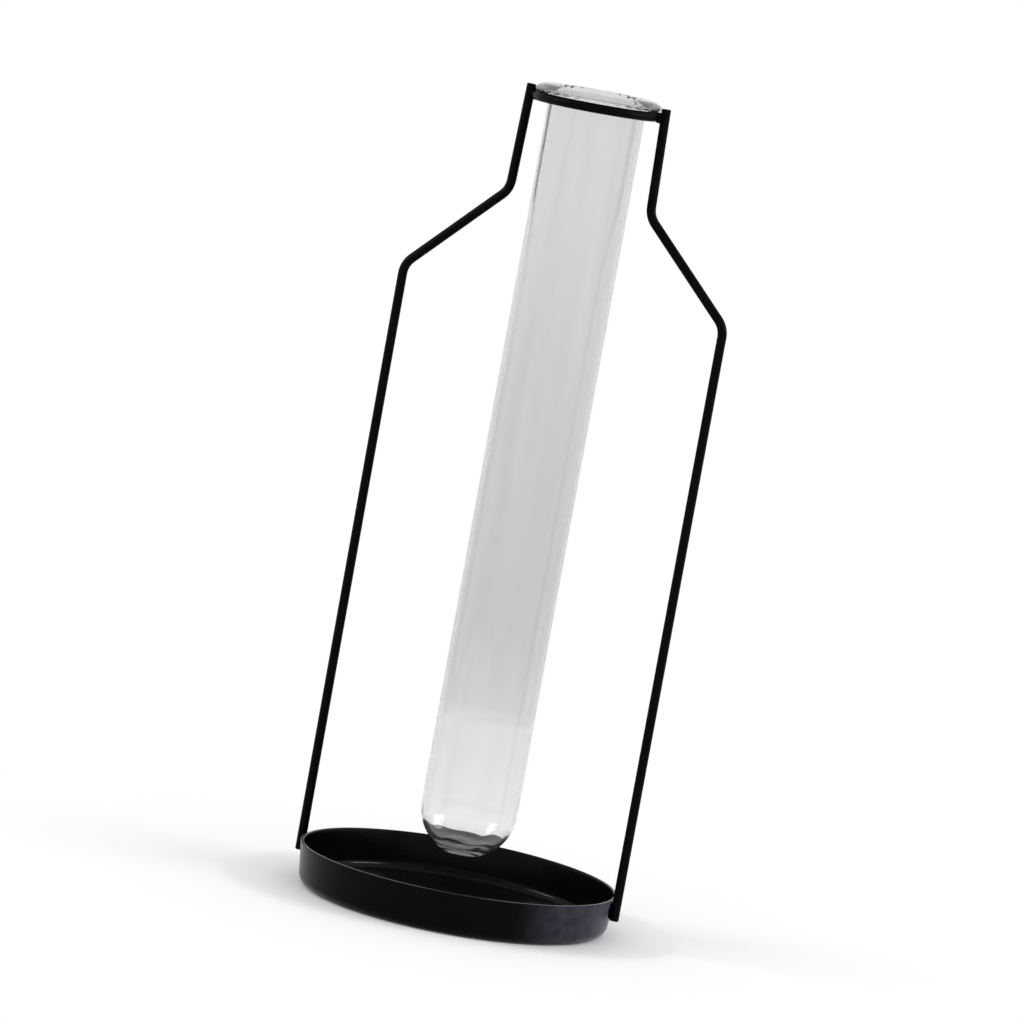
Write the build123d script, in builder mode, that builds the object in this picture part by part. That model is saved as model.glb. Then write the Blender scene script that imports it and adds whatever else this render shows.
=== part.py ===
from build123d import *
from math import atan2, cos, degrees, radians, tan
import os

# A test tube vase: a glass tube hangs by its lip in a wire ring, and two bent wires on a
# round sheet-metal tray draw the outline of a bottle around it.
# Millimetres and degrees, +Z up. The origin is the centre of the tray's underside, and the
# two wires stand in the X-Z plane.

# Tray, pressed from sheet
tray_rim_radius = 41.5
tray_height = 11.0
tray_sheet = 0.8
tray_wall_slope = 7.0
tray_inside_corner = 2.2
tray_rim_round = 0.25

# Glass tube
tube_diameter = 25.0
tube_wall = 1.0
tube_bottom = 3.6
tube_length = 200.0
tube_above_floor = 12.9
lip_height = 2.3
lip_flare_radius = 2.0
lip_edge_radius = 0.65
lip_crest_offset = 0.7

# Frame and ring, bent from one size of round wire
wire_diameter = 2.4
wire_bend_radius = 6.0
wire_end_chamfer = 0.2
wire_lap_on_tray = 5.0
wire_rise_above_ring = 1.3
neck_length = 25.0
neck_lean = 0.8
shoulder_slope = 45.0

# Clearances and weld metal
tube_ring_clearance = 1.7
lip_wire_clearance = 0.4
lip_seat_gap = 0.2
weld_root = 0.2
weld_bulge = 0.25

# Heights, from the tray's floor up to the lip that hangs on the ring
wire_radius = wire_diameter / 2
tube_radius = tube_diameter / 2
tube_tip = tray_sheet + tube_above_floor
lip_top = tube_tip + tube_length
lip_underside = lip_top - lip_height
ring_height = lip_underside - lip_seat_gap - wire_radius

# Distances from the axis: the ring clears the tube, the wires stand off the ring and the rim by
# the root of their welds, and the lip stays between the wires
ring_radius = tube_radius + tube_ring_clearance + wire_radius
ring_joint_x = ring_radius + wire_radius + weld_root
neck_top_x = ring_joint_x + wire_radius
neck_foot_x = neck_top_x + neck_lean
rim_joint_x = tray_rim_radius + weld_root
leg_x = rim_joint_x + wire_radius
lip_radius = ring_joint_x - lip_wire_clearance

# Corners of one wire, from its lower end to its top
leg_end_height = tray_height - wire_lap_on_tray
neck_foot_height = ring_height - neck_length
shoulder_height = neck_foot_height - (leg_x - neck_foot_x) * tan(radians(shoulder_slope))
wire_top = ring_height + wire_radius + wire_rise_above_ring

# The tray's outside: floor, then the wall that leans out to the rim
wall_lean = tan(radians(tray_wall_slope))
tray_outline = [(0, 0), (tray_rim_radius - tray_height * wall_lean, 0), (tray_rim_radius, tray_height)]
tray_outside_corner = tray_inside_corner + tray_sheet

os.makedirs("parts", exist_ok=True)

# Tray: one sheet of even thickness turned about Z, with the rim's cut edge eased
tray_inner_rim = tray_rim_radius - tray_sheet / cos(radians(tray_wall_slope))
tray_inner_foot = tray_inner_rim - (tray_height - tray_sheet) * wall_lean

with BuildPart() as base_tray:
    with BuildSketch(Plane.XZ):
        with BuildLine():
            outside = FilletPolyline(*tray_outline, radius=tray_outside_corner)
            inside = FilletPolyline(
                (0, tray_sheet),
                (tray_inner_foot, tray_sheet),
                (tray_inner_rim, tray_height),
                radius=tray_inside_corner,
            )
            Line(outside @ 1, inside @ 1)
            Line(inside @ 0, outside @ 0)
        make_face()
    revolve(axis=Axis.Z)
    rim_edges = base_tray.edges().filter_by(GeomType.CIRCLE).group_by(Axis.Z)[-1]
    fillet(rim_edges, min(tray_rim_round, 0.4 * tray_sheet))
base_tray.part.label = "base_tray"
export_step(base_tray.part, "parts/base_tray.step")

# Ring: one closed turn of wire that carries the tube by its lip
with BuildPart() as neck_ring:
    with BuildSketch(Plane.XZ):
        with Locations((ring_radius, ring_height)):
            Circle(wire_radius)
    revolve(axis=Axis.Z)
neck_ring.part.label = "neck_ring"
export_step(neck_ring.part, "parts/neck_ring.step")

# Frame wires, each with the weld metal that holds it to the tray's wall and to the ring: half as wide
# as the wire on the wall, and round about the ring's end
rim_weld_radius = wire_radius / 2
ring_weld_radius = wire_radius + weld_bulge
rim_weld_length = wire_lap_on_tray - 2 * weld_bulge

for side, sign in (("left", -1), ("right", 1)):
    # Frame wire: leg, shoulder and neck in one bent length, with both ends cut blunt
    with BuildPart() as frame_wire:
        with BuildLine(Plane.XZ) as wire_path:
            FilletPolyline(
                (sign * leg_x, leg_end_height),
                (sign * leg_x, shoulder_height),
                (sign * neck_foot_x, neck_foot_height),
                (sign * neck_top_x, wire_top),
                radius=wire_bend_radius,
            )
        with BuildSketch(Plane(wire_path.line @ 0, z_dir=wire_path.line % 0)):
            Circle(wire_radius)
        sweep(path=wire_path.line)
        ends = frame_wire.faces().filter_by(GeomType.PLANE).sort_by(Axis.Z)
        chamfer(ends.first.edges() + ends.last.edges(), wire_end_chamfer)
    frame_wire.part.label = f"{side}_frame_wire"
    export_step(frame_wire.part, f"parts/{side}_frame_wire.step")

    # Rim weld: a bead along the lap, between the outside of the tray and the back of the wire
    with BuildPart() as rim_weld:
        with Locations((sign * rim_joint_x, 0, tray_height - wire_lap_on_tray / 2)):
            Cylinder(rim_weld_radius, rim_weld_length)
        fillet(rim_weld.edges().filter_by(GeomType.CIRCLE), rim_weld_radius / 2)
        with BuildSketch(Plane.XZ):
            with BuildLine():
                wall = FilletPolyline(*tray_outline, radius=tray_outside_corner)
                Polyline(wall @ 1, (0, tray_height), wall @ 0)
            make_face()
        revolve(axis=Axis.Z, mode=Mode.SUBTRACT)
        add(frame_wire.part, mode=Mode.SUBTRACT)
    rim_weld.part.label = f"{side}_rim_weld"
    export_step(rim_weld.part, f"parts/{side}_rim_weld.step")

    # Ring weld: a round nugget where the ring meets the inside of the neck
    with BuildPart() as ring_weld:
        with Locations((sign * (ring_joint_x - weld_root / 2), 0, ring_height)):
            Sphere(ring_weld_radius)
        add(neck_ring.part, mode=Mode.SUBTRACT)
        add(frame_wire.part, mode=Mode.SUBTRACT)
    ring_weld.part.label = f"{side}_ring_weld"
    export_step(ring_weld.part, f"parts/{side}_ring_weld.step")

# Tube: a round bottom that thickens towards its tip, a straight wall, and a lip that flares out over
# the ring. The lip has a small rounded edge, a dome that touches it and rises to the crest, and a
# round from there into the bore; each rounding is held to the room it has
bore_radius = tube_radius - tube_wall
bottom_centre = tube_tip + tube_radius
bore_depth = tube_radius - tube_bottom
lip_overhang = lip_radius - tube_radius
flare = min(lip_flare_radius, 0.6 * lip_overhang)
edge = min(lip_edge_radius, 0.3 * lip_overhang, 0.3 * lip_height)
crest_radius = tube_radius + min(lip_crest_offset, 0.4 * lip_overhang)
mouth = crest_radius - bore_radius
edge_x = lip_radius - edge
dome_run = edge_x - crest_radius
dome_drop = lip_height - edge
dome_radius = (dome_run**2 + dome_drop**2 - edge**2) / (2 * (dome_drop - edge))
dome_foot = degrees(atan2(dome_radius - dome_drop, dome_run))

with BuildPart() as test_tube:
    with BuildSketch(Plane.XZ):
        with BuildLine():
            CenterArc((0, bottom_centre), tube_radius, -90, 90)
            FilletPolyline(
                (tube_radius, bottom_centre),
                (tube_radius, lip_underside),
                (edge_x, lip_underside),
                radius=flare,
            )
            CenterArc((edge_x, lip_underside + edge), edge, -90, 90 + dome_foot)
            CenterArc((crest_radius, lip_top - dome_radius), dome_radius, dome_foot, 90 - dome_foot)
            CenterArc((crest_radius, lip_top - mouth), mouth, 90, 90)
            Line((bore_radius, lip_top - mouth), (bore_radius, bottom_centre))
            EllipticalCenterArc((0, bottom_centre), bore_radius, bore_depth, 270, arc_size=90)
            Line((0, bottom_centre - bore_depth), (0, tube_tip))
        make_face()
    revolve(axis=Axis.Z)
test_tube.part.label = "test_tube"
export_step(test_tube.part, "parts/test_tube.step")
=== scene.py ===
# A bud vase about 214 mm tall: a glass test tube hangs by its lip in a wire ring, and two bent wires
# on a pressed round tray draw the outline of a bottle around it. Metres, +Z up, the tray on z = 0.
from math import atan2, cos, degrees, hypot, pi, radians, sin, tan

import bpy
from mathutils import Matrix, Vector, noise


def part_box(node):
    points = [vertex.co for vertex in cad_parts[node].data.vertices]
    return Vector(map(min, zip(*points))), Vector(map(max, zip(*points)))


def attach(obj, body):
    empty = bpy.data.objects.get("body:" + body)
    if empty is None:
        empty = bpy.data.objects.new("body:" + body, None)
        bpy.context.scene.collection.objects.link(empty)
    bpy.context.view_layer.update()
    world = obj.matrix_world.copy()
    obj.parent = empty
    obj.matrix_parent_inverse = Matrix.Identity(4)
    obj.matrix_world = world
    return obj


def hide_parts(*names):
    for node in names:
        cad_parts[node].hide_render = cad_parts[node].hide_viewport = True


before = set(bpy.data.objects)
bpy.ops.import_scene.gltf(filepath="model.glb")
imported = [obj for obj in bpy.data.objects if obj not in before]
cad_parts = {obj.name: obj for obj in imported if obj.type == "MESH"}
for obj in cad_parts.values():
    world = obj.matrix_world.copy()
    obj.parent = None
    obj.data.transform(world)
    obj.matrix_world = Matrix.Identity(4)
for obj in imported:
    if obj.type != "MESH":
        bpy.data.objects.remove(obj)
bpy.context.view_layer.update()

# Tray: the shallow round dish that the vase stands on. It is pressed in one stroke from 0.8 mm sheet
# steel, so floor, corner and wall are one even sheet, and the rim is its cut edge, eased by hand.
# It was sprayed black together with the wires, after they were welded on.
mm = 0.001
tray_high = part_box("base_tray")[1]
tray_rim_radius = tray_high.x
tray_height = tray_high.z
tray_sheet = 0.8 * mm
tray_wall_slope = 7
tray_inside_corner = 2.2 * mm
tray_outside_corner = tray_inside_corner + tray_sheet
tray_rim_round = 0.25 * mm
press_waviness = 0.05 * mm
press_wave_length = 14 * mm


def arc(centre, radius, start, end, steps):
    """Points along an arc about centre, between two angles in degrees."""
    angles = [radians(start + (end - start) * step / steps) for step in range(steps + 1)]
    return [(centre[0] + radius * cos(angle), centre[1] + radius * sin(angle)) for angle in angles]


def straight(start, end, steps):
    """Points between two points, without them."""
    shares = [step / steps for step in range(1, steps)]
    return [(start[0] + (end[0] - start[0]) * s, start[1] + (end[1] - start[1]) * s) for s in shares]


def turned(name, outline, sides):
    """A mesh turned about Z from (radius, height) points, whose first and last lie on the axis."""
    rings = outline[1:-1]
    turns = [2 * pi * side / sides for side in range(sides)]
    points = [(0, 0, outline[0][1])]
    for radius, height in rings:
        points += [(radius * cos(turn), radius * sin(turn), height) for turn in turns]
    points.append((0, 0, outline[-1][1]))
    last_ring = 1 + (len(rings) - 1) * sides
    faces = []
    for side in range(sides):
        after = (side + 1) % sides
        faces.append((0, 1 + after, 1 + side))
        for low in range(1, last_ring, sides):
            high = low + sides
            faces.append((low + side, low + after, high + after, high + side))
        faces.append((last_ring + side, last_ring + after, len(points) - 1))
    mesh = bpy.data.meshes.new(name)
    mesh.from_pydata(points, [], faces)
    mesh.shade_smooth()
    made = bpy.data.objects.new(name, mesh)
    bpy.context.scene.collection.objects.link(made)
    return made


# The corner's arcs touch the level floor and the leaning wall, so their centres lie where both are
# one radius away. The rim's rounds touch the wall's two sides and the level top in the same way.
wall_lean = tan(radians(tray_wall_slope))
wall_cosine = cos(radians(tray_wall_slope))
corner_reach = tan(radians((90 - tray_wall_slope) / 2))
foot_radius = tray_rim_radius - tray_height * wall_lean
inner_rim_radius = tray_rim_radius - tray_sheet / wall_cosine
inner_foot_radius = inner_rim_radius - (tray_height - tray_sheet) * wall_lean
outer_corner = (foot_radius - tray_outside_corner * corner_reach, tray_outside_corner)
inner_corner = (inner_foot_radius - tray_inside_corner * corner_reach, tray_sheet + tray_inside_corner)
rim_spread = tray_rim_round / wall_cosine
rim_shift = tray_rim_round * wall_lean
outer_edge = (tray_rim_radius - rim_shift - rim_spread, tray_height - tray_rim_round)
inner_edge = (inner_rim_radius - rim_shift + rim_spread, tray_height - tray_rim_round)

floor_rings = 16
wall_rings = 10
outer_floor = [(outer_corner[0] * ring / floor_rings, 0) for ring in range(floor_rings)]
outer_wall = arc(outer_corner, tray_outside_corner, -90, -tray_wall_slope, steps=10)
outer_rim = arc(outer_edge, tray_rim_round, -tray_wall_slope, 90, steps=6)
inner_rim = arc(inner_edge, tray_rim_round, 90, 180 - tray_wall_slope, steps=6)
inner_wall = arc(inner_corner, tray_inside_corner, -tray_wall_slope, -90, steps=10)
inner_floor = [(inner_corner[0] * ring / floor_rings, tray_sheet) for ring in reversed(range(floor_rings))]
tray_outline = outer_floor + outer_wall + straight(outer_wall[-1], outer_rim[0], wall_rings) + outer_rim
tray_outline += inner_rim + straight(inner_rim[-1], inner_wall[0], wall_rings) + inner_wall + inner_floor
tray = turned("tray", tray_outline, sides=256)

# A deep draw leaves the thin wall slightly wavy, which breaks up the reflections along it.
for vertex in tray.data.vertices:
    rise = vertex.co.z / tray_height
    wave = noise.noise(vertex.co / press_wave_length) - 0.5
    vertex.co.xy *= 1 + wave * rise * press_waviness / tray_rim_radius
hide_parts("base_tray")
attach(tray, "frame")


def linear(hex_colour):
    """An sRGB hex colour as linear red, green, blue and alpha."""
    shares = [int(hex_colour[place:place + 2], 16) / 255 for place in (1, 3, 5)]
    return (*[s / 12.92 if s <= 0.04045 else ((s + 0.055) / 1.055) ** 2.4 for s in shares], 1)


def add(tree, kind, inputs=None, **settings):
    """Adds a shader node. An input is a value, or a node and the output of it that is linked. Sockets
    that share their name with another are given by their place."""
    made = tree.nodes.new("ShaderNode" + kind)
    for setting, value in settings.items():
        setattr(made, setting, value)
    for socket, value in (inputs or {}).items():
        if isinstance(value, tuple) and isinstance(value[0], bpy.types.Node):
            tree.links.new(value[0].outputs[value[1]], made.inputs[socket])
        else:
            made.inputs[socket].default_value = value
    return made


# Black spray enamel on steel: nearly black with a cold cast, a soft gloss that blurs what it mirrors, a
# fine orange peel from the spray gun, and cloudy patches where the coat is thinner.
enamel_dark = linear("#030304")
enamel_thin = linear("#09090C")
orange_peel_size = 0.9 * mm
orange_peel_height = 0.006 * mm
cloud_size = 9 * mm


def enamel(name, roughness, specular):
    """Black enamel. Its roughness is a pair, for where its coat is thick and where it is thin."""
    made = bpy.data.materials.new(name)
    made.use_nodes = True
    tree = made.node_tree
    place = add(tree, "TexCoord")
    clouds = add(tree, "TexNoise", {"Vector": (place, "Object"), "Scale": 1 / cloud_size, "Detail": 3.0})
    colour = add(tree, "Mix", {0: (clouds, "Fac"), 6: enamel_dark, 7: enamel_thin}, data_type="RGBA")
    gloss = add(tree, "MapRange", {"Value": (clouds, "Fac"), "To Min": roughness[0], "To Max": roughness[1]})
    peel = add(tree, "TexNoise", {"Vector": (place, "Object"), "Scale": 1 / orange_peel_size, "Detail": 1.0})
    bump = add(tree, "Bump", {"Height": (peel, "Fac"), "Distance": orange_peel_height, "Strength": 1.0})
    shader = tree.nodes["Principled BSDF"]
    tree.links.new(colour.outputs[2], shader.inputs["Base Color"])
    tree.links.new(gloss.outputs["Result"], shader.inputs["Roughness"])
    tree.links.new(bump.outputs["Normal"], shader.inputs["Normal"])
    shader.inputs["Specular IOR Level"].default_value = specular
    return made


# The outside is rubbed dull by handling, and a painted sheen greys it in patches towards its right side.
# A film of dust on it lights up where the wall turns away. Inside the tray the spray settled thicker
# and dried glossy.
# The grey of the painted sheen, and the place and size of its patches.
painted_sheen_grey = linear("#34343E")
sheen_patch_size = 3 * mm
sheen_from = 0.6 * tray_rim_radius
sheen_to = 0.85 * tray_rim_radius
sheen_patch_start = 0.3
sheen_patch_end = 0.7
sheen_patch_least = 0.5
dust_amount = 0.6
dust_roughness = 0.32
dust_tint = linear("#CDCDDA")
rubbed_roughness = (0.3, 0.44)
rubbed_specular = 0.03
settled_roughness = (0.13, 0.2)
settled_specular = 0.08
rubbed_black_enamel = enamel("rubbed_black_enamel", rubbed_roughness, rubbed_specular)
settled_black_enamel = enamel("settled_black_enamel", settled_roughness, settled_specular)
painted_sheen_black_enamel = enamel("painted_sheen_black_enamel", rubbed_roughness, rubbed_specular)

# Painted sheen: towards the tray's right side, the outside's colour is mixed to grey in noisy patches.
tree = painted_sheen_black_enamel.node_tree
place = tree.nodes["Texture Coordinate"]
axes = add(tree, "SeparateXYZ", {"Vector": (place, "Object")})
sheen_side = add(
    tree,
    "MapRange",
    {"Value": (axes, "X"), "From Min": sheen_from, "From Max": sheen_to},
    interpolation_type="SMOOTHSTEP",
)
sheen_noise = add(tree, "TexNoise", {"Vector": (place, "Object"), "Scale": 1 / sheen_patch_size, "Detail": 2.0})
sheen_patches = add(
    tree,
    "MapRange",
    {"Value": (sheen_noise, "Fac"), "From Min": sheen_patch_start, "From Max": sheen_patch_end, "To Min": sheen_patch_least},
)
painted_sheen_share = add(tree, "Math", {0: (sheen_side, "Result"), 1: (sheen_patches, "Result")}, operation="MULTIPLY")
shader = tree.nodes["Principled BSDF"]
coat = shader.inputs["Base Color"].links[0].from_node
colour = add(tree, "Mix", {0: (painted_sheen_share, "Value"), 6: (coat, 2), 7: painted_sheen_grey}, data_type="RGBA")
tree.links.new(colour.outputs[2], shader.inputs["Base Color"])
shader.inputs["Sheen Weight"].default_value = dust_amount
shader.inputs["Sheen Roughness"].default_value = dust_roughness
shader.inputs["Sheen Tint"].default_value = dust_tint

tray.data.materials.append(painted_sheen_black_enamel)
tray.data.materials.append(settled_black_enamel)
for face in tray.data.polygons:
    sheet_middle = tray_rim_radius - tray_sheet / 2 - (tray_height - face.center.z) * wall_lean
    inside = face.center.z > tray_sheet / 2 and face.center.xy.length < sheet_middle
    face.material_index = 1 if inside else 0

# Frame wires and neck ring: three lengths of 2.4 mm round steel wire. Each frame wire is bent to half
# of a bottle's outline and welded to the tray and the ring; the ring is closed by a butt weld.
for wire in ("left_frame_wire", "right_frame_wire", "neck_ring"):
    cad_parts[wire].data.materials.clear()
    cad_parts[wire].data.materials.append(rubbed_black_enamel)

# Weld metal: a bead laid along each wire's lap on the tray, in a few overlapping drops, and a nugget on
# each side of the ring. Melted steel, knocked clean of slag and sprayed with the rest of the frame.
weld_lap = 5.0 * mm
bead_half_sizes = Vector((0.55, 0.55, 2.2)) * mm
nugget_half_sizes = Vector((1.45, 1.4, 1.45)) * mm
weld_drop_pitch = 0.95 * mm
weld_drop_depth = 0.07
weld_lump_size = 1.3 * mm
weld_lump_height = 0.12 * mm
bead_root_depth = 0.35 * mm


def weld(name, centre, half_sizes, drops):
    """A lumpy round of weld metal, with the ripples of its drops along Z if drops is 1."""
    made = turned(name, arc((0, 0), 1, -90, 90, steps=32), sides=40)
    for vertex in made.data.vertices:
        outward = vertex.co.copy()
        spot = Vector(share * half for share, half in zip(outward, half_sizes))
        ripple = drops * weld_drop_depth * cos(2 * pi * spot.z / weld_drop_pitch)
        spot.xy *= 1 + ripple
        lump = noise.noise((spot + centre) / weld_lump_size)
        vertex.co = centre + spot + outward * lump * weld_lump_height
    made.data.materials.append(rubbed_black_enamel)
    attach(made, "frame")
    return made


# The bead's inner side is pushed out into the tray's sheet, so that it doesn't show inside the tray.
ring_low, ring_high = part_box("neck_ring")
ring_height = (ring_low.z + ring_high.z) / 2
for side, sign in (("left", -1), ("right", 1)):
    bead_centre = Vector((sign * tray_rim_radius, 0, tray_height - weld_lap / 2))
    bead = weld(f"{side}_rim_bead", bead_centre, bead_half_sizes, drops=1)
    for vertex in bead.data.vertices:
        wall_radius = tray_rim_radius - (tray_height - vertex.co.z) * wall_lean
        reach = hypot(vertex.co.x, vertex.co.y)
        vertex.co.xy *= max(1, (wall_radius - bead_root_depth) / reach)
    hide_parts(f"{side}_rim_weld")
    nugget_centre = Vector((sign * ring_high.x, 0, ring_height))
    nugget = weld(f"{side}_ring_nugget", nugget_centre, nugget_half_sizes, drops=0)
    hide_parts(f"{side}_ring_weld")

# Test tube: a standard 25 x 200 mm tube, drawn from clear glass, with its bottom blown round in the
# flame and its mouth flared and fire polished to a lip, by which it hangs loose in the ring.
tube_low, tube_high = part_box("test_tube")
lip_radius = tube_high.x
lip_top = tube_high.z
tube_tip = tube_low.z
tube_radius = 12.5 * mm
tube_wall = 1.0 * mm
bore_radius = tube_radius - tube_wall
bottom_height = tube_tip + tube_radius
lip_height = 2.3 * mm
lip_underside = lip_top - lip_height
lip_flare = 2.0 * mm
lip_edge = 0.65 * mm
lip_crest_radius = 13.2 * mm

# The lip's edge is a small round, and a dome runs from it up to the crest, where the mouth begins. The
# edge's round lies within the dome's circle and touches it, which gives the dome's radius.
edge_centre = (lip_radius - lip_edge, lip_underside + lip_edge)
dome_run = edge_centre[0] - lip_crest_radius
dome_drop = lip_top - edge_centre[1]
dome_radius = (dome_run ** 2 + dome_drop ** 2 - lip_edge ** 2) / (2 * (dome_drop - lip_edge))
dome_centre = (lip_crest_radius, lip_top - dome_radius)
dome_foot = degrees(atan2(dome_radius - dome_drop, dome_run))
mouth_round = lip_crest_radius - bore_radius
outer_bottom = arc((0, bottom_height), tube_radius, -90, 0, steps=40)
flare = arc((tube_radius + lip_flare, lip_underside - lip_flare), lip_flare, 180, 90, steps=12)
lip = arc(edge_centre, lip_edge, -90, dome_foot, steps=14)
dome = arc(dome_centre, dome_radius, dome_foot, 90, steps=12)
mouth = arc((lip_crest_radius, lip_top - mouth_round), mouth_round, 90, 180, steps=14)

# Blowing thins the round of the bottom, and a button of glass gathers at its tip. A higher focus keeps
# the button closer to the tip.
bottom_thinning = 0.6 * mm
button = 2.6 * mm
button_focus = 5
bore_bottom = []
for x, z in arc((0, 0), 1, 0, -90, steps=48):
    thickness = tube_wall - bottom_thinning * sin(-pi * z) + button * (-z) ** button_focus
    reach = tube_radius - thickness
    bore_bottom.append((x * reach, bottom_height + z * reach))

# The flame leaves the bottom uneven inside, and the lip keeps the marks of the rollers that flared it,
# which lift its lower edge a little. The margin tells the bottom's inside from its outside, and takes
# the lip's underside in with the lip.
tube_rings = 60
roller_marks = 33
sides_per_mark = 8
roller_mark_depth = 0.06 * mm
roller_mark_lift = 0.3 * mm
bottom_unevenness = 0.5 * mm
bottom_wave_length = 5 * mm
margin = 0.1 * mm
bottom_centre = Vector((0, 0, bottom_height))
tube_outline = outer_bottom + straight(outer_bottom[-1], flare[0], tube_rings) + flare + lip
tube_outline += dome[1:] + mouth[1:] + straight(mouth[-1], bore_bottom[0], tube_rings) + bore_bottom
tube = turned("tube", tube_outline, sides=roller_marks * sides_per_mark)
for vertex in tube.data.vertices:
    reach = hypot(vertex.co.x, vertex.co.y)
    from_centre = vertex.co - bottom_centre
    if from_centre.z < 0 and from_centre.length < tube_radius - margin:
        depth = -from_centre.z / bore_radius
        wave = noise.noise(vertex.co / bottom_wave_length)
        vertex.co += from_centre.normalized() * wave * depth * bottom_unevenness
    elif reach > lip_crest_radius and vertex.co.z > lip_underside - margin:
        share = (reach - lip_crest_radius) / (lip_radius - lip_crest_radius)
        around = atan2(vertex.co.y, vertex.co.x)
        mark = 0.5 - 0.5 * cos(roller_marks * around)
        vertex.co.xy *= 1 - mark * share * roller_mark_depth / lip_radius
        low = max(0, 1 - (vertex.co.z - lip_underside) / (2 * lip_edge))
        vertex.co.z += mark * share * low * roller_mark_lift
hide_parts("test_tube")
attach(tube, "tube")

# Clear drawn glass: colourless with a light grey density and a trace of haze, polished by the flame,
# with faint streaks along its length from the drawing. Its colour carries painted light and shade, as
# tones given for heights in millimetres: they darken slowly from the lip down, and lighten in a step
# about 50 mm above the table.
painted_glass_tones = {
    214: "#FFFFFF",
    207: "#F2F2F2",
    74: "#E9E9E9",
    61: "#EEEEEE",
    53: "#EFEFEF",
    49: "#F8F8F8",
    18: "#FFFFFF",
}
glass_grey = linear("#CCCCCC")
glass_density = 165.0
glass_clearness = 0.96
streak_width = 6 * mm
streak_length = 70 * mm
streak_contrast = 0.05
tone_wander = 90 * mm
wander_full_at = 80 * mm
step_low = 50 * mm
step_high = 62 * mm
clear_drawn_glass = bpy.data.materials.new("clear_drawn_glass")
clear_drawn_glass.use_nodes = True
tree = clear_drawn_glass.node_tree
place = add(tree, "TexCoord")
stretch = (1 / streak_width, 1 / streak_width, 1 / streak_length)
drawn = add(tree, "VectorMath", {0: (place, "Object"), 1: stretch}, operation="MULTIPLY")
streaks = add(tree, "TexNoise", {"Vector": (drawn, "Vector"), "Scale": 1.0, "Detail": 2.0})

# The streaks shift the tones up and down the tube, less towards the lip and not below the step.
wander = add(
    tree,
    "MapRange",
    {"Value": (streaks, "Fac"), "To Min": -tone_wander / 2, "To Max": tone_wander / 2},
)
axes = add(tree, "SeparateXYZ", {"Vector": (place, "Object")})
for start, end in ((lip_top, wander_full_at), (step_low, step_high)):
    fade = add(tree, "MapRange", {"Value": (axes, "Z"), "From Min": start, "From Max": end})
    wander = add(tree, "Math", {0: (wander, 0), 1: (fade, "Result")}, operation="MULTIPLY")
height = add(tree, "Math", {0: (axes, "Z"), 1: (wander, "Value")}, operation="ADD")
height = add(tree, "MapRange", {"Value": (height, "Value"), "From Max": lip_top})
# The ramp paints light and shade into the glass's colour by height.
tones = add(tree, "ValToRGB", {"Fac": (height, "Result")})
tones.color_ramp.interpolation = "EASE"
stops = tones.color_ramp.elements
for rise in sorted(painted_glass_tones)[1:-1]:
    stops.new(rise * mm / lip_top)
for stop, (rise, tone) in zip(stops, sorted(painted_glass_tones.items())):
    stop.position = rise * mm / lip_top
    stop.color = linear(tone)
fine = add(
    tree,
    "MapRange",
    {"Value": (streaks, "Fac"), "To Min": 1 - streak_contrast, "To Max": 1 + streak_contrast},
)
colour = add(tree, "VectorMath", {0: (tones, "Color"), 1: (fine, "Result")}, operation="MULTIPLY")
shader = tree.nodes["Principled BSDF"]
tree.links.new(colour.outputs["Vector"], shader.inputs["Base Color"])
shader.inputs["Transmission Weight"].default_value = glass_clearness
shader.inputs["IOR"].default_value = 1.5
shader.inputs["Roughness"].default_value = 0.01
density = add(tree, "VolumeAbsorption", {"Color": glass_grey, "Density": glass_density})
tree.links.new(density.outputs["Volume"], tree.nodes["Material Output"].inputs["Volume"])
tube.data.materials.append(clear_drawn_glass)

# Floor: a plain white studio floor. Near the vase it is lit like anything else and takes its shadow;
# further off it fades into the white of the room.
floor_size = 24.0
shadow_inner = 0.045
shadow_outer = 0.15
floor_white = linear("#F5F5F5")
corners = [(x * floor_size / 2, y * floor_size / 2, 0) for x, y in ((-1, -1), (1, -1), (1, 1), (-1, 1))]
floor_mesh = bpy.data.meshes.new("floor")
floor_mesh.from_pydata(corners, [], [(0, 1, 2, 3)])
floor = bpy.data.objects.new("floor", floor_mesh)
bpy.context.scene.collection.objects.link(floor)


def shown_white(tree):
    """A node whose value is 1 where the camera looks, straight or by way of gloss or glass, and else 0."""
    ray = add(tree, "LightPath")
    seen = add(tree, "Math", {0: (ray, "Is Camera Ray"), 1: (ray, "Is Glossy Ray")}, operation="MAXIMUM")
    return add(tree, "Math", {0: (seen, "Value"), 1: (ray, "Is Transmission Ray")}, operation="MAXIMUM")


white_floor = bpy.data.materials.new("white_studio_floor")
white_floor.use_nodes = True
tree = white_floor.node_tree
tree.nodes.clear()
place = add(tree, "TexCoord")
away = add(tree, "VectorMath", {0: (place, "Object")}, operation="LENGTH")
fade = add(
    tree,
    "MapRange",
    {"Value": (away, "Value"), "From Min": shadow_inner, "From Max": shadow_outer},
    interpolation_type="SMOOTHSTEP",
)
white_share = add(tree, "Math", {0: (fade, "Result"), 1: (shown_white(tree), "Value")}, operation="MULTIPLY")
lit = add(tree, "BsdfDiffuse", {"Color": floor_white})
white = add(tree, "Emission", {"Color": (1, 1, 1, 1), "Strength": 1.0})
both = add(tree, "MixShader", {0: (white_share, "Value"), 1: (lit, "BSDF"), 2: (white, "Emission")})
add(tree, "OutputMaterial", {"Surface": (both, "Shader")})
floor_mesh.materials.append(white_floor)

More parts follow.
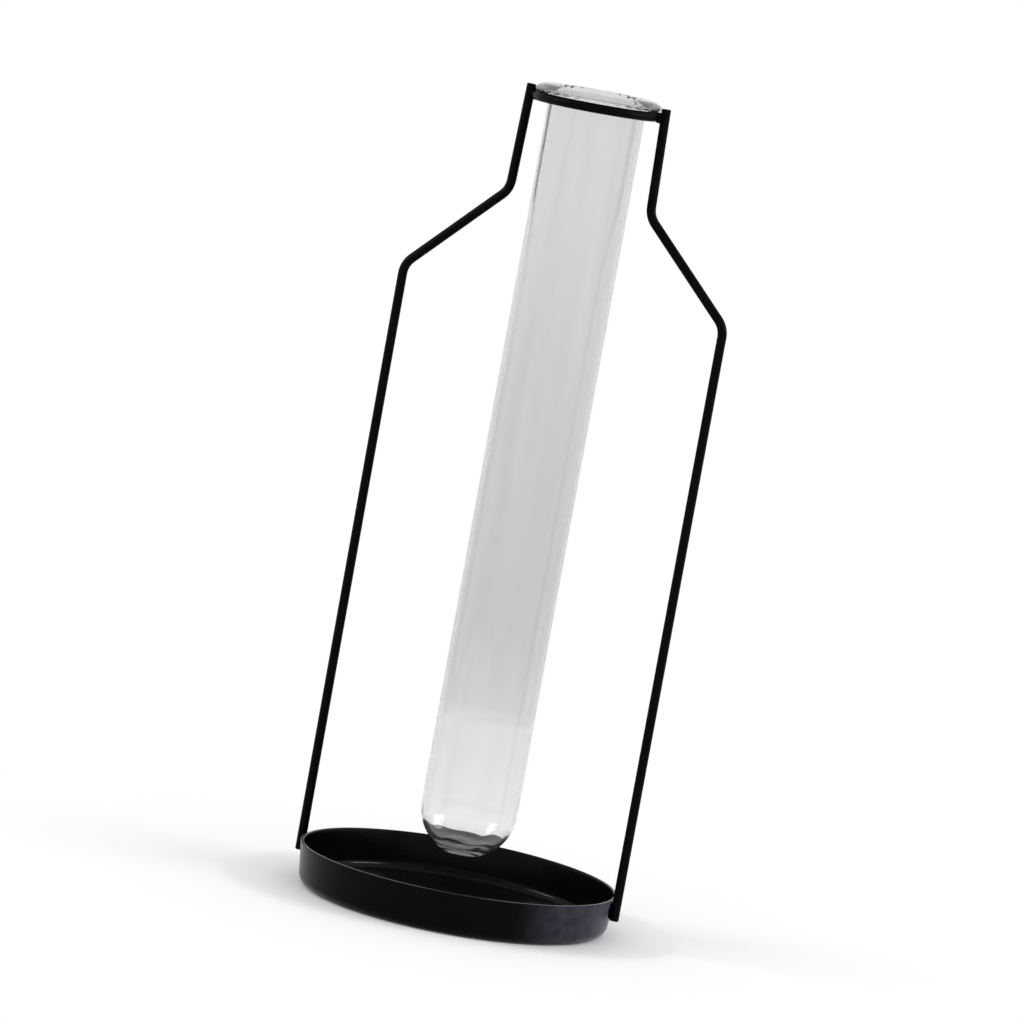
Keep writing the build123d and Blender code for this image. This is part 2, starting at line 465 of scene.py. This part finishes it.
# Light: the even light of a white room, and a strip softbox high on each side of the vase, which draw
# the long highlights in the tray's corner and the small ones in the glass. Each softbox has its place
# and width in metres and its power in watts.
room_level = 0.78
softbox_height = 0.08
softboxes = {
    "softbox_left": ((-0.63, -0.32, 0.43), 0.3, 2.0),
    "softbox_right": ((0.74, 0.08, 0.43), 0.42, 2.6),
}
vase_middle = Vector((0, 0, 0.1))
room = bpy.data.worlds.new("white_room")
bpy.context.scene.world = room
room.use_nodes = True
tree = room.node_tree
tree.nodes.clear()
level = add(tree, "MapRange", {"Value": (shown_white(tree), "Value"), "To Min": room_level, "To Max": 1.0})
sky = add(tree, "Background", {"Color": (1, 1, 1, 1), "Strength": (level, "Result")})
add(tree, "OutputWorld", {"Surface": (sky, "Background")})

for name, (spot, width, watts) in softboxes.items():
    lamp = bpy.data.lights.new(name, "AREA")
    lamp.shape = "RECTANGLE"
    lamp.size = width
    lamp.size_y = softbox_height
    lamp.energy = watts
    softbox = bpy.data.objects.new(name, lamp)
    softbox.location = spot
    softbox.rotation_mode = "QUATERNION"
    aim = vase_middle - softbox.location
    softbox.rotation_quaternion = aim.to_track_quat("-Z", "Y")
    bpy.context.scene.collection.objects.link(softbox)

# Camera: a long lens from slightly above and to the right of the front, rolled so that the vase leans
# to the right in the picture.
view_azimuth = radians(14.5)
view_elevation = radians(6.4)
view_roll = radians(10.3)
view_distance = 1.516
picture_centre = Vector((-2.73, -0.96, 103.92)) * mm
lens_mm = 208.0
sensor_mm = 36.0

back = Vector((
    sin(view_azimuth) * cos(view_elevation),
    -cos(view_azimuth) * cos(view_elevation),
    sin(view_elevation),
))
right = Vector((cos(view_azimuth), sin(view_azimuth), 0))
up = back.cross(right)
across = right * cos(view_roll) + up * sin(view_roll)
upward = up * cos(view_roll) - right * sin(view_roll)
lens = bpy.data.cameras.new("camera")
lens.sensor_width = sensor_mm
lens.lens = lens_mm
lens.clip_end = 100.0
camera = bpy.data.objects.new("camera", lens)
turn = Matrix((across, upward, back)).transposed().to_4x4()
camera.matrix_world = Matrix.Translation(picture_centre + back * view_distance) @ turn
bpy.context.scene.collection.objects.link(camera)
bpy.context.scene.camera = camera
bpy.context.scene.view_settings.view_transform = "Standard"
